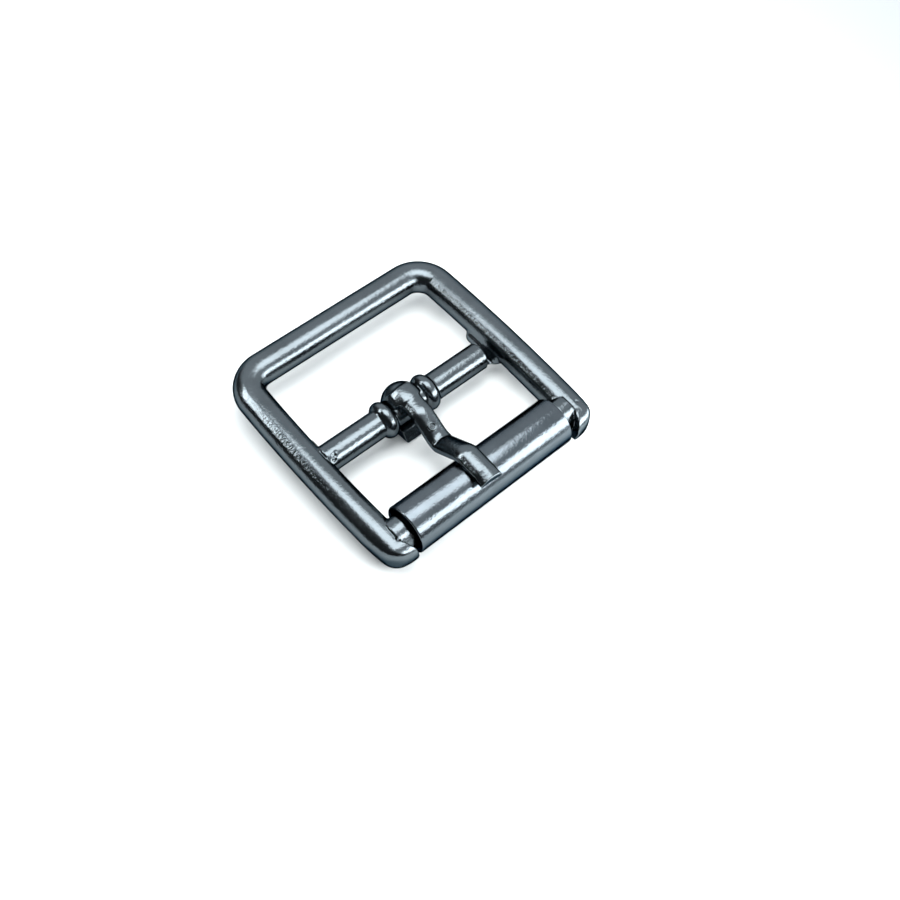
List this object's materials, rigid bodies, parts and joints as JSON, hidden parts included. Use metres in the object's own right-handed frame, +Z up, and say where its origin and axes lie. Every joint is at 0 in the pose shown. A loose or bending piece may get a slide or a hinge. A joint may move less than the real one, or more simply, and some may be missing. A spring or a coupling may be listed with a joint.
{
  "type": "roller buckle",
  "caption": "Roller buckle with a cast rounded frame, a centre bar, a loose roller on the front bar and a half-round prong that swings on the centre bar.",
  "frame": {"origin": "centre of the buckle's outline on the surface it lies on", "axes": "+Z up from the surface, X along the centre bar and the roller, the roller and the prong's tip toward -Y, the back bar toward +Y"},
  "size_m": [0.0264, 0.0264, 0.006],
  "materials": {
    "plated_zinc": "dark black-nickel plating, polished, over cast zinc alloy",
    "plated_steel": "dark black-nickel plating, polished, over rolled steel tube"
  },
  "bodies": {
    "frame": {"frame": "plated_zinc"},
    "roller": {"roller": "plated_steel"},
    "prong": {"prong": "plated_zinc"}
  },
  "joints": [
    {"name": "prong_swing", "type": "hinge", "parent": "frame", "child": "prong", "pos_m": [-0.00078, -0.00022, 0.0027], "axis": [-1, 0, 0], "range_deg": [0, 150]},
    {"name": "roller_spin", "type": "hinge", "parent": "frame", "child": "roller", "pos_m": [-0.00012, -0.01042, 0.00245], "axis": [1, 0, 0], "continuous": true}
  ]
}
